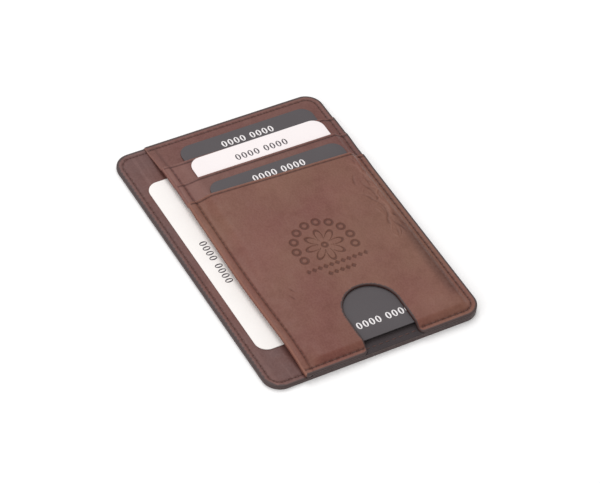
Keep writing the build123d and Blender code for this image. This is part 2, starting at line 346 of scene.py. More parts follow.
def marks_along(corners, pitch):
    """Evenly spaced (x, y, heading) along a closed outline."""
    points, _ = rounded_path(corners, 0.2)
    closed = np.vstack([points, points[:1]])
    steps = np.hypot(*np.diff(closed, axis=0).T)
    along = np.concatenate([[0], np.cumsum(steps)])
    count = round(along[-1] / pitch)
    at = (np.arange(count) + 0.5) * along[-1] / count
    x, y = np.interp(at, along, closed[:, 0]), np.interp(at, along, closed[:, 1])
    ahead = (at + 0.1) % along[-1]
    dx = np.interp(ahead, along, closed[:, 0]) - x
    dy = np.interp(ahead, along, closed[:, 1]) - y
    return np.stack([x, y, np.arctan2(dy, dx)], axis=1)


# The stitches' places (x, y, heading): round the outline, and down the stack's free edge.
SEAM_MARKS = marks_along(outline_corners(SEAM_INSET), STITCH_PITCH)
SIDE_TOP = LIP_1.at(CREASE_X) - 1.6
SIDE_COUNT = int((SIDE_TOP - BOTTOM - 3) / STITCH_PITCH)
SIDE_MARKS = np.array([(CREASE_X, SIDE_TOP - i * STITCH_PITCH, -pi / 2) for i in range(SIDE_COUNT)])


def needle_holes(x, y, places):
    """Dents at both ends of each stitch, 1 deep."""
    dent = 0 * x
    for mx, my, heading in places:
        for end in (-1, 1):
            hx = mx + end * HOLE_PLACE * cos(heading)
            hy = my + end * HOLE_PLACE * sin(heading)
            near = (np.abs(x - hx) < 1) & (np.abs(y - hy) < 1)
            dent[near] += ridge(np.hypot(x[near] - hx, y[near] - hy), 0.3)
    return dent


def seam_groove(x, y):
    """How deep the perimeter seam is pulled down."""
    return GROOVE_DEPTH * ridge(inset(x, y) - SEAM_INSET, 0.38)


def perimeter_seam(x, y):
    """The perimeter seam as (groove, needle holes, depth of both together)."""
    groove, holes = seam_groove(x, y), needle_holes(x, y, SEAM_MARKS)
    return groove, holes, groove + HOLE_DEPTH * holes


# ---- meshes ----
def make_mesh(name, vertices, faces, marks=None, smooth=True):
    """An object from vertices in millimetres; marks are kept as the point colours of that name."""
    mesh = bpy.data.meshes.new(name)
    mesh.from_pydata((np.asarray(vertices) * MM).tolist(), [], faces)
    mesh.validate()
    if marks is not None:
        layer = mesh.color_attributes.new("marks", "FLOAT_COLOR", "POINT")
        rgba = np.hstack([marks, np.ones((len(marks), 1))]).astype(np.float32)
        layer.data.foreach_set("color", rgba.ravel())
    mesh.polygons.foreach_set("use_smooth", [smooth] * len(mesh.polygons))
    mesh.update()
    piece = bpy.data.objects.new(name, mesh)
    bpy.context.scene.collection.objects.link(piece)
    return piece


def lattice(low, high, pitch):
    """A triangular lattice of points over a plan box."""
    rows = np.arange(low[1], high[1], pitch * sqrt(3) / 2)
    points = []
    for i, y in enumerate(rows):
        x = np.arange(low[0] + (i % 2) * pitch / 2, high[0], pitch)
        points.append(np.stack([x, np.full_like(x, y)], axis=1))
    return np.vstack(points)


def inside_and_depth(points, path):
    """Whether each point is inside a closed path, and its distance from it."""
    a, b = path, np.roll(path, -1, axis=0)
    d = b - a
    lengths = (d**2).sum(1)
    inside = np.zeros(len(points), bool)
    depth = np.zeros(len(points))
    chunk = 4000  # points at a time, to save memory
    for start in range(0, len(points), chunk):
        p = points[start : start + chunk, None, :]
        t = np.clip(((p - a) * d).sum(2) / lengths, 0, 1)
        gap = p - a - t[..., None] * d
        depth[start : start + chunk] = np.sqrt((gap**2).sum(2).min(1))
        py = p[..., 1]
        spans = (a[:, 1] > py) != (b[:, 1] > py)
        slope = np.where(d[:, 1] == 0, 1e-9, d[:, 1])
        crossing = a[:, 0] + (py - a[:, 1]) / slope * d[:, 0]
        inside[start : start + chunk] = (spans & (p[..., 0] < crossing)).sum(1) % 2 == 1
    return inside, depth


def fill(ring, zones):
    """Triangles over a ring: (extra points, faces), finer in the earlier zones (pitch, where)."""
    low, high = ring.min(0), ring.max(0)
    kept = []
    for i, (pitch, where) in enumerate(zones):
        points = lattice(low, high, pitch)
        keep = where(points[:, 0], points[:, 1])
        for _, finer in zones[:i]:
            keep &= ~finer(points[:, 0], points[:, 1])
        points = points[keep]
        inside, depth = inside_and_depth(points, ring)
        kept.append(points[inside & (depth > 0.45 * pitch)])  # no slivers along the ring
    extra = np.vstack(kept)
    n = len(ring)
    every = np.vstack([ring, extra])
    edges = [(i, (i + 1) % n) for i in range(n)]
    keep_inside, tolerance = 1, 1e-5
    points = [Vector(p) for p in every.tolist()]
    found = delaunay_2d_cdt(points, edges, [], keep_inside, tolerance)
    origin = [o[0] if o else -1 for o in found[3]]
    faces = [[origin[v] for v in face] for face in found[2]]
    return extra, [f for f in faces if min(f) >= 0]


def anywhere(x, y):
    """The zone that is everywhere."""
    return np.ones_like(x, bool)


def nowhere(x, y):
    """The zone that is empty."""
    return np.zeros_like(x, bool)


def constant(value):
    """A height, radius or paint that is the same everywhere."""
    return lambda x, y: np.full_like(x, value)


# Where the rings of vertices lie in a leaf's two rounded rims, as shares of the rim's radius.
TOP_RINGS = (0.0, 0.07, 0.26, 0.58, 1.0)
UNDER_RINGS = (0.0, 0.3, 1.0)
OPEN_RIM, COVERED_RIM = 0.42, 0.1  # radii of a rim on the outline that shows, and of a hidden one
SEAM_PITCH = 0.34  # of a mesh fine enough for needle holes


def rim(x, y):
    """Edge paint that laps onto the face beside the stack's part of the outline."""
    return 0.75 * ramp(inset(x, y), 1.0, 0.5) * (x > STACK_LEFT)


def rim_marks(share, cut, rim_darkening, on_top):
    """Point colours of a rim's ring: edge paint, painted highlight, darker edge with painted shade.
    """
    if not on_top:
        return np.stack([cut * (1 - share**2), np.full_like(cut, 0.5), rim_darkening], axis=1)
    # A painted highlight on the rounded rim, where the edge is not painted.
    rim_highlight = 0.22 if 0.2 < share < 0.9 else 0.0
    tone = 0.5 + (1 - cut) * rim_highlight
    return np.stack([cut * (1 - 0.3 * share), tone, sqrt(1 - share) * rim_darkening], axis=1)


def rim_faces(n):
    """Quads between the rings of n points, from the top's inner ring to the underside's."""
    top_count, count = len(TOP_RINGS), len(TOP_RINGS) + len(UNDER_RINGS)
    order = [*range(top_count - 1, -1, -1), *range(top_count, count)]
    faces = []
    for a, b in zip(order[:-1], order[1:]):
        for i in range(n):
            j = (i + 1) % n
            faces.append([a * n + i, b * n + i, b * n + j, a * n + j])
    return faces


def leaf(name, corners, top, under, edge, under_edge, zones, under_zones, paint,
         detail=None, under_detail=None, step=0.8, edge_darkening=None, bowed=False):
    """A sheet between top and under. edge and under_edge give the radius of its two rims.

    zones are the mesh pitches of fill. paint is the paint of the cut edge, and char its darkening,
    darker paint with painted shade. A detail gives (depth, shade, burn) over a face; its shade
    holds painted shade and highlights, and wear. The point colours called marks hold edge paint in
    red, tone (0.5 is plain) in green, and in blue pressing darkened by burning and the darkened cut
    edge.
    """
    path, normal = rounded_path(corners, step)
    n = len(path)
    round_x, round_y = path[:, 0], path[:, 1]
    cut = paint(round_x, round_y)
    # Extra darkening of the cut edge: darker edge paint with painted shade.
    rim_darkening = edge_darkening(round_x, round_y) if edge_darkening else np.zeros(n)
    plan, z_all, marks = [], [], []
    rims = ((top, edge, TOP_RINGS, -1.0), (under, under_edge, UNDER_RINGS, 1.0))
    for height, radius, shares, sign in rims:
        r = radius(round_x, round_y)
        for share in shares:
            at = path - normal * (r * share)[:, None]
            rounding = r * (1 - np.sqrt(1 - (1 - share) ** 2))
            plan.append(at)
            z_all.append(height(at[:, 0], at[:, 1]) + sign * rounding)
            marks.append(rim_marks(share, cut, rim_darkening, sign < 0))
    faces = rim_faces(n)
    rings = list(plan)
    offset = len(rings) * n
    sides = (
        (len(TOP_RINGS) - 1, zones, top, detail, -1.0),
        (len(rings) - 1, under_zones, under, under_detail, 1.0),
    )
    for ring_index, side_zones, height, side_detail, sign in sides:
        extra, tris = fill(rings[ring_index], side_zones)
        x, y = extra[:, 0], extra[:, 1]
        z = height(x, y)
        colour = np.stack([rim(x, y) if detail else 0 * x, 0 * x + 0.5, 0 * x], axis=1)
        if side_detail is not None:
            depth, shade, burn_and_edge_shade = side_detail(x, y)
            z = z + sign * depth
            colour[:, 1] = np.clip(0.5 + shade, 0, 1)
            colour[:, 2] = burn_and_edge_shade
        plan.append(extra)
        z_all.append(z)
        marks.append(colour)
        base = ring_index * n
        for tri in tris:
            mapped = [base + v if v < n else offset + v - n for v in tri]
            faces.append(mapped if sign < 0 else mapped[::-1])
        offset += len(extra)
    plan = np.vstack(plan)
    vertices = np.column_stack([plan, np.concatenate(z_all)])
    if bowed:
        vertices[:, 0] -= bow(vertices[:, 0], vertices[:, 1])
    return make_mesh(name, vertices, faces, np.vstack(marks))


# ---- the wallet's panels ----
def outer_edge(x, y):
    """1 on the painted outline of the wallet and in the notch, 0 on turned edges."""
    on_outline = inset(x, y) < 0.3
    notch = (np.abs(x - NOTCH_X) < NOTCH_HALF + NOTCH_FLARE + 0.3) & (y < NOTCH_TOP + 0.3)
    return np.where(on_outline | notch, 1.0, 0.0)


def near_seam(x, y):
    """The perimeter seam and its needle holes."""
    return np.abs(inset(x, y) - SEAM_INSET) < 1.0


def near_crease(x, y):
    """The side crease and its needle holes."""
    return np.abs(x - CREASE_X) < 1.1


def near_emblem(x, y):
    """A disc over the flower and its arc, and a box over the rows of beads."""
    u, v = (x - EMBLEM_X) / EMBLEM_SIZE, (y - EMBLEM_Y) / EMBLEM_SIZE
    return (np.hypot(u, v) < 10.8) | ((np.abs(u) < 9.6) & (v < -6.4) & (v > -12.8))


def worn(x, y):
    """Where handling has worn the front panel paler."""
    beside_emblem = ridge(np.hypot((x + 14.0) / 8.0, (y + 8.0) / 17.0), 1.0)
    beside_notch = ridge(np.hypot((x - 25.0) / 8.0, (y + 48.0) / 6.0), 1.0)
    return beside_emblem + beside_notch


def creased(x, y):
    """Where the fine creases and scratches are."""
    scratched = (np.abs(x + 16.0) < 2.2) & (np.abs(y + 27.2) < 3.6)
    return scratched | ((x > 28.5) & (y > -24.0) & (y < 22.0))


def notch_edge(x, y):
    """1 on the notch's cut edge, which is drawn darker: darker edge paint with painted shade."""
    return np.where((np.abs(x - NOTCH_X) < NOTCH_HALF + 0.3) & (y < NOTCH_TOP + 0.3), 1.0, 0.0)


def on_slope(x, y):
    """The steep parts, where the front goes down from the cards to the seam."""
    return (x > CARD_3.high[0] - 1.5) | (y < BOTTOM + 6.0) | (x < STACK_LEFT + 1.5)


def lip_crease(x, y, lip):
    """The tooled line that runs below a mouth."""
    return ridge(lip.at(x) - 1.25 - y, 0.3)


def stack_edge(at_side, shown=anywhere):
    """Rim radius of a leaf: at the stack's free side, on the outline, and where it is covered."""
    def radius(x, y):
        on_outline = np.where(shown(x, y), OPEN_RIM, COVERED_RIM)
        return np.where(x < STACK_LEFT + 0.6, at_side, on_outline)
    return radius


def turned_under(x):
    """How much thicker a leaf is at the stack's free side, where it is turned under."""
    return TURNED_T * ramp(x, INNER_LEFT, INNER_LEFT - 0.8)


def near_lip(x, y, lip):
    """From just below a mouth's tooled line upwards."""
    return y > lip.at(x) - 2.0


def sewn_shade(x, y, groove, holes, side_holes):
    """Painted shade in the perimeter seam's groove and needle holes, and in the side crease and its
    holes.
    """
    return 0.9 * groove + 0.25 * holes + 0.16 * ridge(x - CREASE_X, 0.4) + side_holes


def turned_highlight(x):
    """A painted highlight along the top of the turned edge."""
    return ridge(x - STACK_LEFT - 1.4, 0.8)


def seam_detail(groove_shade, hole_shade, edge_highlight, crease_shade=0.0):
    """The detail of a face that has only the perimeter seam: painted shade in its groove, holes and
    the side crease, and a painted highlight along the edge.
    """
    def detail(x, y):
        groove, holes, depth = perimeter_seam(x, y)
        shade = edge_highlight * ridge(inset(x, y) - 1.0, 0.9) - groove_shade * groove - hole_shade * holes
        crease = ridge(x - CREASE_X, 0.5) * (x < CREASE_X + 3)
        return depth, shade - crease_shade * crease, 0 * x
    return detail


def back_panel():
    """The plain back, whose seam shows on its underside."""
    return leaf(
        "back_leather", outline_corners(), constant(BACK_TOP), constant(0.0),
        edge=constant(COVERED_RIM), under_edge=constant(0.34), zones=[(4.0, anywhere)],
        under_zones=[(SEAM_PITCH, near_seam), (1.6, anywhere)],
        paint=outer_edge, under_detail=seam_detail(0.5, 0.2, 0.0),
    )


def pocket_liner():
    """The pocket's lining; only the strip left of the stack is worked out finely."""
    def edge(x, y):
        return np.where(x < STACK_LEFT, OPEN_RIM, 0.12)

    def bare(x, y):
        return x < STACK_LEFT + 4

    def bare_seam(x, y):
        return near_seam(x, y) & (x < STACK_LEFT + 3)

    return leaf(
        "pocket_liner_leather", outline_corners(), constant(LINER_TOP), constant(BACK_TOP + 0.005),
        edge=edge, under_edge=constant(COVERED_RIM),
        zones=[(SEAM_PITCH, bare_seam), (1.0, bare), (3.5, anywhere)],
        under_zones=[(4.0, anywhere)], paint=outer_edge, detail=seam_detail(0.6, 0.2, 0.06),
    )


def divider_panel():
    """The divider: full width above the first mouth, and below it only as far as INNER_LEFT."""
    step_y = LIP_1.left - 1.0
    corners = [
        (RIGHT, BOTTOM, CORNER_R),
        (RIGHT, TOP, CORNER_R),
        (STACK_LEFT, TOP, 0.8),
        (STACK_LEFT, step_y, 0.4),
        (INNER_LEFT, step_y, 0.4),
        (INNER_LEFT, BOTTOM, 0.4),
    ]

    def top(x, y):
        turned = ramp(y, step_y - 0.5, step_y) * ramp(y, TOP - 3.5, TOP - 6)
        return divider_plain(x, y) + turned_edge(x) * turned

    def under(x, y):
        return divider_plain(x, y) - DIVIDER_T + HAIR

    def above_lip(x, y):
        return y > LIP_1.at(x) - 1.0

    def bare(x, y):
        return y > LIP_1.right - 3

    def bare_seam(x, y):
        return near_seam(x, y) & bare(x, y)

    return leaf(
        "divider_leather", corners, top, under,
        edge=stack_edge(0.34, above_lip), under_edge=constant(COVERED_RIM),
        zones=[(SEAM_PITCH, bare_seam), (0.7, bare), (1.6, anywhere)],
        under_zones=[(1.8, anywhere)],
        paint=outer_edge, detail=seam_detail(0.9, 0.25, 0.08, 0.12), bowed=True,
    )


def divider_lining():
    """The fabric on the divider, up to just below the front panel's mouth."""
    lining_top = LIP_3.right - COVERED
    corners = [
        (INNER_LEFT, BOTTOM, 0.4),
        (RIGHT, BOTTOM, CORNER_R),
        (RIGHT, lining_top, 0.4),
        (INNER_LEFT, lining_top, 0.4),
    ]

    def under(x, y):
        return lining_plain(x, y) - LINING_T + HAIR

    def in_notch(x, y):
        return (np.abs(x - NOTCH_X) < NOTCH_HALF + 3) & (y < BOTTOM + 7)

    def detail(x, y):
        groove, holes, _ = perimeter_seam(x, y)
        # The needle holes get painted shade.
        return 0.05 * holes + 0.3 * groove, -0.2 * holes, 0 * x

    return leaf(
        "notch_lining", corners, lining_plain, under, edge=constant(0.07),
        under_edge=constant(0.05), zones=[(0.35, in_notch), (1.8, anywhere)],
        under_zones=[(2.0, anywhere)], paint=outer_edge, detail=detail, bowed=True,
    )


def facing(name, plain, lip, next_lip):
    """A slot's leather facing, from its mouth to just under the next one."""
    corners = [
        (STACK_LEFT, next_lip.left - COVERED, 1.0),
        (RIGHT, next_lip.right - COVERED, 0.4),
        (RIGHT, lip.right, 0.5),
        (STACK_LEFT, lip.left, 1.0),
    ]

    def top(x, y):
        return plain(x, y) + turned_edge(x)

    def under(x, y):
        return plain(x, y) - STRIP_T - turned_under(x) + HAIR

    def visible(x, y):
        return y > next_lip.at(x) - 0.5

    def fine(x, y):
        return (near_seam(x, y) | near_crease(x, y) | near_lip(x, y, lip)) & visible(x, y)

    def detail(x, y):
        groove, holes, sewn = perimeter_seam(x, y)
        side_holes = needle_holes(x, y, SIDE_MARKS)
        line = lip_crease(x, y, lip)
        beside_cards = ramp(x, -17.0, -21.5)
        # Painted highlights below the mouth's rounded edge and on the turned fold, paler left of
        # the cards, a darker tooled line, and painted shade in the seams.
        shade = (
            0.12 * ridge(lip.at(x) - y, 0.7) - 0.42 * line + 0.12 * beside_cards
            + 0.05 * turned_highlight(x) - sewn_shade(x, y, groove, holes, 0.2 * side_holes)
        )
        return sewn + 0.22 * side_holes + LINE_DEPTH * line, shade, 0 * x

    return leaf(
        name, corners, top, under, edge=stack_edge(0.72), under_edge=stack_edge(0.45, nowhere),
        zones=[(SEAM_PITCH, fine), (0.5, visible), (1.2, anywhere)],
        under_zones=[(1.5, anywhere)], paint=outer_edge, detail=detail, step=0.5, bowed=True,
    )


def front_panel():
    """The front leather with its thumb notch, ornament and wear."""
    left, right = NOTCH_X - NOTCH_HALF, NOTCH_X + NOTCH_HALF
    corners = [
        (STACK_LEFT, BOTTOM, 1.0),
        (left, BOTTOM, NOTCH_FLARE),
        (left, NOTCH_TOP, NOTCH_HALF),
        (right, NOTCH_TOP, NOTCH_HALF),
        (right, BOTTOM, NOTCH_FLARE),
        (RIGHT, BOTTOM, CORNER_R),
        (RIGHT, LIP_3.right, 0.5),
        (STACK_LEFT, LIP_3.left, 1.0),
    ]

    def top(x, y):
        return front_plain(x, y) + turned_edge(x) * ramp(y, BOTTOM + 1.0, BOTTOM + 4.5)

    def under(x, y):
        return front_plain(x, y) - FRONT_T - turned_under(x) + HAIR

    def fine(x, y):
        return near_seam(x, y) | near_crease(x, y) | near_lip(x, y, LIP_3)

    def detail(x, y):
        groove, holes, sewn = perimeter_seam(x, y)
        side_holes = needle_holes(x, y, SIDE_MARKS)
        line = lip_crease(x, y, LIP_3)
        pressed = emblem(x, y)
        lines = wrinkles(x, y)
        inside = inset(x, y)
        # Painted shade in the valley where the panel drops to the right seam, and painted light on
        # the slope's foot by the seam.
        valley = ridge(inside - 5.8, 2.4) * ramp(x, 30, 34) * ramp(y, -4, -24) * ramp(y, -54, -46)
        foot = ridge(inside - 3.5, 0.8) * ramp(x, 34, 37)
        # Painted highlights below the mouth, on the turned fold and along the edge; painted shade
        # in the seams and the valley; the wrinkles and scratches get painted shade where pressed in
        # and painted highlight where raised; the tooled line darker; worn places paler.
        shade = (
            0.12 * ridge(LIP_3.at(x) - y, 0.7) - 0.38 * line + 0.03 * turned_highlight(x)
            - sewn_shade(x, y, groove, holes, 0.15 * side_holes)
            - 0.9 * lines - 0.22 * valley + 0.12 * foot
            + 0.06 * ridge(inside - 1.0, 0.8) + 0.07 * worn(x, y)
        )
        depth = sewn + 0.2 * side_holes + LINE_DEPTH * line + 0.22 * pressed + lines
        return depth, shade, 0.7 * pressed

    return leaf(
        "front_leather", corners, top, under,
        edge=stack_edge(0.78), under_edge=stack_edge(0.5, nowhere),
        zones=[(0.2, near_emblem), (0.3, fine), (0.26, creased), (0.42, on_slope), (0.6, anywhere)],
        under_zones=[(1.6, anywhere)],
        paint=outer_edge, detail=detail, step=0.5, edge_darkening=notch_edge, bowed=True,
    )


# ---- stitches ----
THREAD_SIDES, THREAD_RINGS = 8, 11


def stitch_tube(x, y, heading, height, tilt, flip):
    """One stitch of two-ply thread, from hole to hole, as (vertices, faces).

    tilt is its rise per millimetre, and flip is -1 for a stitch on the underside.
    """
    vertices, faces = [], []
    for i in range(THREAD_RINGS):
        t = 2 * i / (THREAD_RINGS - 1) - 1
        s = t * STITCH_LENGTH / 2
        lift = 0.02 - 0.42 * abs(t) ** 5
        girth = 1.0 - 0.25 * abs(t) ** 4
        for k in range(THREAD_SIDES):
            turn = 2 * pi * k / THREAD_SIDES
            ply = 1 + 0.16 * cos(2 * turn + 5.0 * s)
            across = THREAD_R * girth * ply * cos(turn)
            up = 0.8 * THREAD_R * girth * ply * sin(turn)
            vertices.append((
                x + s * cos(heading) - across * sin(heading),
                y + s * sin(heading) + across * cos(heading),
                height + flip * (lift + up) + s * tilt,
            ))
    for i in range(THREAD_RINGS - 1):
        for k in range(THREAD_SIDES):
            j = (k + 1) % THREAD_SIDES
            a, b = i * THREAD_SIDES, (i + 1) * THREAD_SIDES
            face = [a + k, b + k, b + j, a + j]
            faces.append(face if flip < 0 else face[::-1])
    for start, turned in ((0, False), ((THREAD_RINGS - 1) * THREAD_SIDES, True)):
        cap = [start + k for k in range(THREAD_SIDES)]
        faces.append(cap[::-1] if turned != (flip < 0) else cap)
    return vertices, faces


def stitches(name, places, height, flip=1.0, bowed=False):
    """Stitches at (x, y, heading), lying on a surface given by its height."""
    vertices, faces = [], []
    reach = 0.6  # from a stitch's middle to the two points that give its tilt
    for x, y, heading in places:
        ends = []
        for e in (-reach, reach):
            at = np.array([x + e * cos(heading)]), np.array([y + e * sin(heading)])
            ends.append(float(height(*at)[0]))
        tilt = (ends[1] - ends[0]) / (2 * reach)
        out = bow(x, y) if bowed else 0.0
        v, f = stitch_tube(x - out, y, heading, sum(ends) / 2, tilt, flip)
        base = len(vertices)
        vertices.extend(v)
        faces.extend([[base + i for i in face] for face in f])
    return make_mesh(name, vertices, faces)


def seam_height(x, y):
    """Height of whatever is uppermost along the perimeter seam, in its groove."""
    strip_1, strip_2, front = strip_1_plain(x, y), strip_2_plain(x, y), front_plain(x, y)
    in_notch = (np.abs(x - NOTCH_X) < NOTCH_HALF + 0.6) & (y < BOTTOM + 5)
    z = np.where(y > LIP_1.at(x), divider_plain(x, y), strip_1)
    z = np.where(y < LIP_2.at(x), strip_2, z)
    z = np.where(y < LIP_3.at(x), front, z)
    z = np.where(in_notch, lining_plain(x, y) + 0.12, z)
    return np.where(x < STACK_LEFT, LINER_TOP, z) - GROOVE_DEPTH


def side_height(x, y):
    """Height of whatever is uppermost along the side seam, in its crease."""
    below_front = y < LIP_3.at(x)
    z = np.where(below_front, front_plain(x, y) - 0.12, strip_2_plain(x, y))
    z = np.where(y > LIP_2.at(x), strip_1_plain(x, y), z)
    return z - CREASE_DEPTH - 0.07


# ---- cards ----
CARD_R = 4.5
DIGIT_W, DIGIT_H, DIGIT_STEP = 1.95, 2.9, 2.5
DIGIT_GROUPS = (4, 4)
INK_LIFT = 0.012  # of the print over the board


def card_piece(card):
    """A card's board, in the place of its CAD node."""
    coarse = [(6.0, anywhere)]
    return leaf(
        card.node + "_board", box_corners(card.low, card.high, CARD_R), card.top, card.under,
        edge=constant(0.09), under_edge=constant(0.09), zones=coarse, under_zones=coarse,
        paint=constant(0.0),
    )


def digits(name, card, x, y, angle):
    """Groups of noughts printed on a card, centred on (x, y) and reading along angle."""
    sides = 28
    outer, inner = (DIGIT_W / 2, DIGIT_H / 2), (DIGIT_W * 0.2, DIGIT_H * 0.4)
    vertices, faces = [], []
    places, cursor = [], 0.0
    for count in DIGIT_GROUPS:
        places.extend(cursor + i * DIGIT_STEP for i in range(count))
        cursor = places[-1] + 1.6 * DIGIT_STEP
    middle = (places[0] + places[-1]) / 2
    for place in places:
        base = len(vertices)
        for half_w, half_h in (outer, inner):
            for k in range(sides):
                turn = 2 * pi * k / sides
                u = place - middle + half_w * cos(turn)
                v = half_h * sin(turn)
                px = x + u * cos(angle) - v * sin(angle)
                py = y + u * sin(angle) + v * cos(angle)
                vertices.append((px, py, float(card.top(px, py)) + INK_LIFT))
        for k in range(sides):
            j = (k + 1) % sides
            faces.append([base + k, base + j, base + sides + j, base + sides + k])
    return make_mesh(name, vertices, faces, smooth=False)


# ---- materials ----
class Shader:
    """A material with one Principled shader, and short ways to add nodes to it."""

    def __init__(self, name, roughness=0.5, **constants):
        self.material = bpy.data.materials.new(name)
        self.material.use_nodes = True
        self.tree = self.material.node_tree
        self.bsdf = self.tree.nodes["Principled BSDF"]
        self.bsdf.inputs["Roughness"].default_value = roughness
        for key, value in constants.items():
            self.bsdf.inputs[key.replace("_", " ")].default_value = value
        self.place = self.add("TexCoord").outputs["Object"]

    def add(self, kind, settings=None, **inputs):
        """A new node; its inputs are given by name, with _ for a space."""
        node = self.tree.nodes.new("ShaderNode" + kind)
        for key, value in (settings or {}).items():
            setattr(node, key, value)
        for key, value in inputs.items():
            self.feed(node.inputs[key.replace("_", " ")], value)
        return node

    def feed(self, socket, value):
        """Links a socket to another, or sets it to a constant."""
        if isinstance(value, bpy.types.NodeSocket):
            self.tree.links.new(value, socket)
        else:
            socket.default_value = value

    def math(self, operation, a, b):
        """a and b, added or multiplied."""
        node = self.add("Math", {"operation": operation})
        for socket, value in zip(node.inputs, (a, b)):
            self.feed(socket, value)
        return node.outputs[0]

    def mix(self, share, a, b):
        """Colour a, with that share of colour b."""
        node = self.add("Mix", {"data_type": "RGBA"})
        for index, value in ((0, share), (6, a), (7, b)):
            self.feed(node.inputs[index], value)
        return node.outputs[2]

    def noise(self, scale, detail=3.0, roughness=0.5, stretch=None):
        """Noise of about scale periods per metre, less along an axis with a low stretch."""
        at = self.place
        if stretch:
            mapping = self.add("Mapping", Vector=at)
            mapping.inputs["Scale"].default_value = stretch
            at = mapping.outputs[0]
        node = self.add("TexNoise", Vector=at, Scale=scale, Detail=detail, Roughness=roughness)
        return node.outputs["Fac"]

    def span(self, value, low, high, to_low=0.0, to_high=1.0):
        """The value, taken from the range low to high to the range to_low to to_high."""
        node = self.add("MapRange", {"clamp": True}, Value=value)
        keys = ("From Min", "From Max", "To Min", "To Max")
        for key, number in zip(keys, (low, high, to_low, to_high)):
            node.inputs[key].default_value = number
        return node.outputs[0]

    def bump(self, height, strength, distance, normal=None):
        """A bumped normal, distance metres deep, on top of another normal."""
        node = self.add("Bump", Height=height, Strength=strength, Distance=distance)
        if normal:
            self.feed(node.inputs["Normal"], normal)
        return node.outputs[0]


def rgb(r, g, b):
    """A colour given as 0 to 255 screen values, as the shader's linear numbers."""
    def linear(v):
        v /= 255
        return v / 12.92 if v <= 0.04045 else ((v + 0.055) / 1.055) ** 2.4
    return (linear(r), linear(g), linear(b), 1.0)


EDGE_PAINT = rgb(76, 62, 61)


def leather(name, reddish, tawny, light, dark, stretch=(1.0, 0.45, 1.0), streaked=0.22):
    """Waxed pull-up leather: cloudy colour, paler streaks, painted highlights on bends, with fine
    grain and pores.

    The point colours called marks give edge paint, tone (painted shade and highlights, and wear)
    and burn.
    """
    s = Shader(name, Specular_IOR_Level=0.24, Coat_Weight=0.03, Coat_Roughness=0.38)

    # Clouds, streaks and blots, all over.
    cloud = s.span(s.noise(38.0, 3.0, 0.55), 0.36, 0.64)
    colour = s.mix(cloud, reddish, tawny)
    streak = s.noise(90.0, 4.0, 0.6, stretch=stretch)
    colour = s.mix(s.span(streak, 0.5, 0.78, 0.0, streaked), colour, light)
    blot = s.noise(230.0, 4.0, 0.62)
    colour = s.mix(s.span(blot, 0.50, 0.80, 0.0, 0.14), colour, dark)

    # The tone of the marks: painted highlights on bends, edges and folds, paler worn places, and
    # painted shade in seams, creases and holes.
    marks = s.add("Attribute", {"attribute_name": "marks"})
    parts = s.add("SeparateColor", Color=marks.outputs["Color"])
    paint, tone, burn_and_edge_shade = parts.outputs[0], parts.outputs[1], parts.outputs[2]
    colour = s.mix(s.span(tone, 0.5, 0.85, 0.0, 0.85), colour, light)
    colour = s.mix(s.span(tone, 0.5, 0.15, 0.0, 0.9), colour, dark)

    # Pores, edge paint with a broken border, and pressing darkened by burning; the same darkening
    # gives the notch's cut edge darker paint and painted shade.
    pores = s.add("TexVoronoi", {"feature": "SMOOTH_F1"}, Vector=s.place, Scale=1500.0)
    fine = s.noise(2600.0, 3.0, 0.6)
    pits = s.span(pores.outputs["Distance"], 0.1, 0.55)
    colour = s.mix(s.math("MULTIPLY", s.span(pits, 0.55, 1.0), 0.10), colour, light)
    edge = s.span(s.math("ADD", paint, s.math("MULTIPLY", fine, 0.25)), 0.25, 0.55)
    colour = s.mix(edge, colour, EDGE_PAINT)
    colour = s.mix(s.math("MULTIPLY", burn_and_edge_shade, 0.75), colour, dark)
    rough = s.math("ADD", s.span(blot, 0.3, 0.7, 0.40, 0.54), s.math("MULTIPLY", burn_and_edge_shade, 0.12))

    # Grain: soft creases, pits and a fine tooth.
    creases = s.noise(420.0, 5.0, 0.65)
    normal = s.bump(creases, 0.20, 0.00025)
    normal = s.bump(pits, 0.28, 0.00010, normal)
    normal = s.bump(fine, 0.12, 0.00005, normal)
    s.feed(s.bsdf.inputs["Base Color"], colour)
    s.feed(s.bsdf.inputs["Roughness"], rough)
    s.feed(s.bsdf.inputs["Normal"], normal)
    return s.material


WAVE_RADIANS = 20.0  # how far a wave texture of scale 1 turns in a metre


def cloth(name, colour, lighter, thread_mm=0.28):
    """Close plain weave of threads that far apart."""
    s = Shader(name, roughness=0.85, Sheen_Weight=0.15)
    scale = 2 * pi / (WAVE_RADIANS * 2 * thread_mm * MM)
    waves = []
    for direction in ("X", "Y"):
        wave = s.add("TexWave", {"bands_direction": direction}, Vector=s.place,
                     Scale=scale, Distortion=0.6, Detail=1.0)
        waves.append(wave.outputs["Fac"])
    weave = s.math("MULTIPLY", waves[0], waves[1])
    tone = s.mix(weave, colour, lighter)
    blot = s.noise(120.0, 3.0)
    tone = s.mix(s.span(blot, 0.4, 0.7, 0.0, 0.3), tone, lighter)
    s.feed(s.bsdf.inputs["Base Color"], tone)
    s.feed(s.bsdf.inputs["Normal"], s.bump(weave, 0.5, 0.00008))
    return s.material


def thread_material(name, colour, lighter):
    """Waxed thread with fine fibres."""
    s = Shader(name, roughness=0.55, Sheen_Weight=0.2)
    fibre = s.noise(5200.0, 3.0, 0.6)
    s.feed(s.bsdf.inputs["Base Color"], s.mix(s.span(fibre, 0.4, 0.7), colour, lighter))
    s.feed(s.bsdf.inputs["Normal"], s.bump(fibre, 0.4, 0.00005))
    return s.material


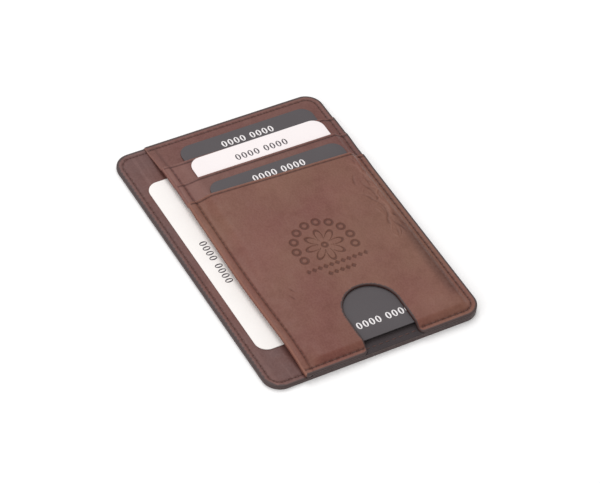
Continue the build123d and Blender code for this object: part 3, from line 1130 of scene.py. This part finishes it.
def card_stock(name, colour, fleck, roughness=0.62):
    """Smooth uncoated board with a faint tooth."""
    s = Shader(name, roughness=roughness)
    tooth = s.noise(3200.0, 3.0, 0.6)
    cloud = s.noise(60.0, 2.0)
    tone = s.mix(s.span(tooth, 0.45, 0.8, 0.0, 0.35), colour, fleck)
    tone = s.mix(s.span(cloud, 0.4, 0.7, 0.0, 0.25), tone, fleck)
    s.feed(s.bsdf.inputs["Base Color"], tone)
    s.feed(s.bsdf.inputs["Roughness"], s.span(cloud, 0.3, 0.7, roughness - 0.05, roughness + 0.08))
    s.feed(s.bsdf.inputs["Normal"], s.bump(tooth, 0.15, 0.00003))
    return s.material


def dress(piece, material, body, slot, *nodes):
    """Gives a piece its material and body, and hides the CAD nodes that it stands for. slot is not
    used.
    """
    piece.data.materials.clear()
    piece.data.materials.append(material)
    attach(piece, body)
    if nodes:
        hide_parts(*nodes)


# ---- putting it together ----
outer = leather(
    "outer_leather", rgb(117, 70, 61), rgb(121, 81, 66), rgb(154, 110, 95), rgb(58, 26, 19)
)
inner = leather(
    "inner_leather", rgb(109, 69, 62), rgb(100, 72, 70), rgb(142, 108, 102), rgb(54, 28, 24),
    stretch=(3.0, 0.14, 1.0), streaked=0.5,
)
slot_leather = leather(
    "slot_leather", rgb(109, 68, 63), rgb(113, 76, 68), rgb(148, 108, 98), rgb(52, 26, 22)
)
lining = cloth("dark_lining", rgb(48, 39, 41), rgb(62, 52, 55))
pocket_fabric = cloth("pocket_fabric", rgb(70, 52, 46), rgb(92, 70, 62))
interlining = cloth("interlining", rgb(176, 174, 170), rgb(196, 194, 190), 0.4)
thread = thread_material("waxed_thread", rgb(66, 34, 27), rgb(100, 58, 48))
slate = card_stock("slate_card", rgb(77, 71, 74), rgb(86, 80, 83))
white = card_stock("white_card", rgb(251, 243, 243), rgb(247, 239, 239))
cream = card_stock("cream_card", rgb(251, 247, 244), rgb(247, 242, 239))
white_ink = card_stock("pale_print", rgb(246, 242, 242), rgb(235, 230, 230))
dark_ink = card_stock("dark_print", rgb(78, 72, 76), rgb(92, 86, 90))

# Each CAD node that a new piece stands for, with that piece, its material and its slot.
panels = {
    "back_panel": (back_panel(), outer, "outer_leather"),
    "pocket_liner": (pocket_liner(), inner, "liner_leather"),
    "divider_panel": (divider_panel(), slot_leather, "divider_leather"),
    "divider_lining": (divider_lining(), lining, "dark_lining"),
    "slot_1_strip": (
        facing("slot_1_facing", strip_1_plain, LIP_1, LIP_2), slot_leather, "outer_leather"
    ),
    "slot_2_strip": (
        facing("slot_2_facing", strip_2_plain, LIP_2, LIP_3), slot_leather, "outer_leather"
    ),
    "front_panel": (front_panel(), outer, "outer_leather"),
    "perimeter_thread": (
        stitches("perimeter_stitches", SEAM_MARKS, seam_height), thread, "thread"
    ),
    "perimeter_bobbin_thread": (
        stitches("back_stitches", SEAM_MARKS, constant(0.2), flip=-1.0), thread, "thread"
    ),
    "side_edge_thread": (
        stitches("side_edge_stitches", SIDE_MARKS, side_height, bowed=True), thread, "thread"
    ),
}
for node, (piece, material, slot_name) in panels.items():
    dress(piece, material, "wallet", slot_name, node)

for node, material in (
    ("back_interlining", interlining),
    ("slot_1_lining", pocket_fabric),
    ("slot_2_lining", pocket_fabric),
    ("slot_1_foot_thread", thread),
    ("slot_2_foot_thread", thread),
):
    mesh = frame["nodes"][node].data
    mesh.materials.clear()
    mesh.materials.append(material)

# Each card's board and ink, and its lines of print as (x from the middle, y from the top, angle).
prints = (
    (CARD_1, slate, white_ink, "dark_card", [(-0.5, -4.8, 0.0)]),
    (CARD_2, white, dark_ink, "white_card", [(0.2, -5.6, 0.0)]),
    (CARD_3, slate, white_ink, "dark_card", [(0.2, -4.3, 0.0), (-0.6, -79.3, pi)]),
    (SIDE_CARD, cream, dark_ink, "white_card", [(-21.2, -42.8, -pi / 2)]),
)
for card, stock, ink, slot_name, lines in prints:
    dress(card_piece(card), stock, card.body, slot_name, card.node)
    centre_x = (card.low[0] + card.high[0]) / 2
    for i, (dx, dy, angle) in enumerate(lines):
        line = digits(f"{card.node}_print_{i + 1}", card, centre_x + dx, card.high[1] + dy, angle)
        dress(line, ink, card.body, slot_name)


# ---- stage, light and camera ----
def stage():
    """A plain pale floor, just under the wallet; in metres."""
    floor = bpy.data.objects.new("floor", bpy.data.meshes.new("floor"))
    half, z = 3.0, -0.0001
    corners = [(-half, -half, z), (half, -half, z), (half, half, z), (-half, half, z)]
    floor.data.from_pydata(corners, [], [(0, 1, 2, 3)])
    bpy.context.scene.collection.objects.link(floor)
    s = Shader("white_table", roughness=0.7)
    s.bsdf.inputs["Base Color"].default_value = (0.93, 0.925, 0.925, 1)
    s.bsdf.inputs["Emission Color"].default_value = (1.0, 1.0, 1.0, 1)
    s.bsdf.inputs["Emission Strength"].default_value = 0.15
    floor.data.materials.append(s.material)


def area_light(name, at, target, size, power):
    """A round softbox at one point, facing another; metres and watts."""
    data = bpy.data.lights.new(name, "AREA")
    data.shape, data.size, data.energy = "DISK", size, power
    light = bpy.data.objects.new(name, data)
    light.location = at
    light.rotation_euler = (Vector(target) - Vector(at)).to_track_quat("-Z", "Y").to_euler()
    bpy.context.scene.collection.objects.link(light)


def camera(azimuth, elevation, roll, distance, target, lens):
    """A camera looking at target from azimuth and elevation, turned by roll, all in degrees."""
    a, e, r = radians(azimuth), radians(elevation), radians(roll)
    back = Vector((sin(a) * cos(e), -cos(a) * cos(e), sin(e)))
    right = Vector((cos(a), sin(a), 0.0))
    up = back.cross(right)
    across = cos(r) * right + sin(r) * up
    upward = cos(r) * up - sin(r) * right
    data = bpy.data.cameras.new("camera")
    data.lens, data.sensor_width, data.sensor_fit = lens, 36.0, "HORIZONTAL"
    data.clip_start, data.clip_end = 0.01, 20.0
    eye = bpy.data.objects.new("camera", data)
    turn = Matrix((across, upward, back)).transposed().to_4x4()
    eye.matrix_world = Matrix.Translation(Vector(target) + back * distance) @ turn
    bpy.context.scene.collection.objects.link(eye)
    bpy.context.scene.camera = eye


stage()
world = bpy.data.worlds.new("studio")
world.use_nodes = True
world.node_tree.nodes["Background"].inputs["Color"].default_value = (1.0, 0.99, 0.985, 1)
world.node_tree.nodes["Background"].inputs["Strength"].default_value = 0.56
bpy.context.scene.world = world
area_light("softbox_above", (0.12, 0.5, 0.95), (0, 0, 0), 0.8, 4.5)
area_light("softbox_left", (-0.85, -0.25, 0.6), (0, 0, 0), 0.9, 3.5)
camera(-34.61, 46.41, 7.26, 0.9411, (0.00130, -0.00256, 0.0), 161.6)
bpy.context.scene.view_settings.view_transform = "Standard"
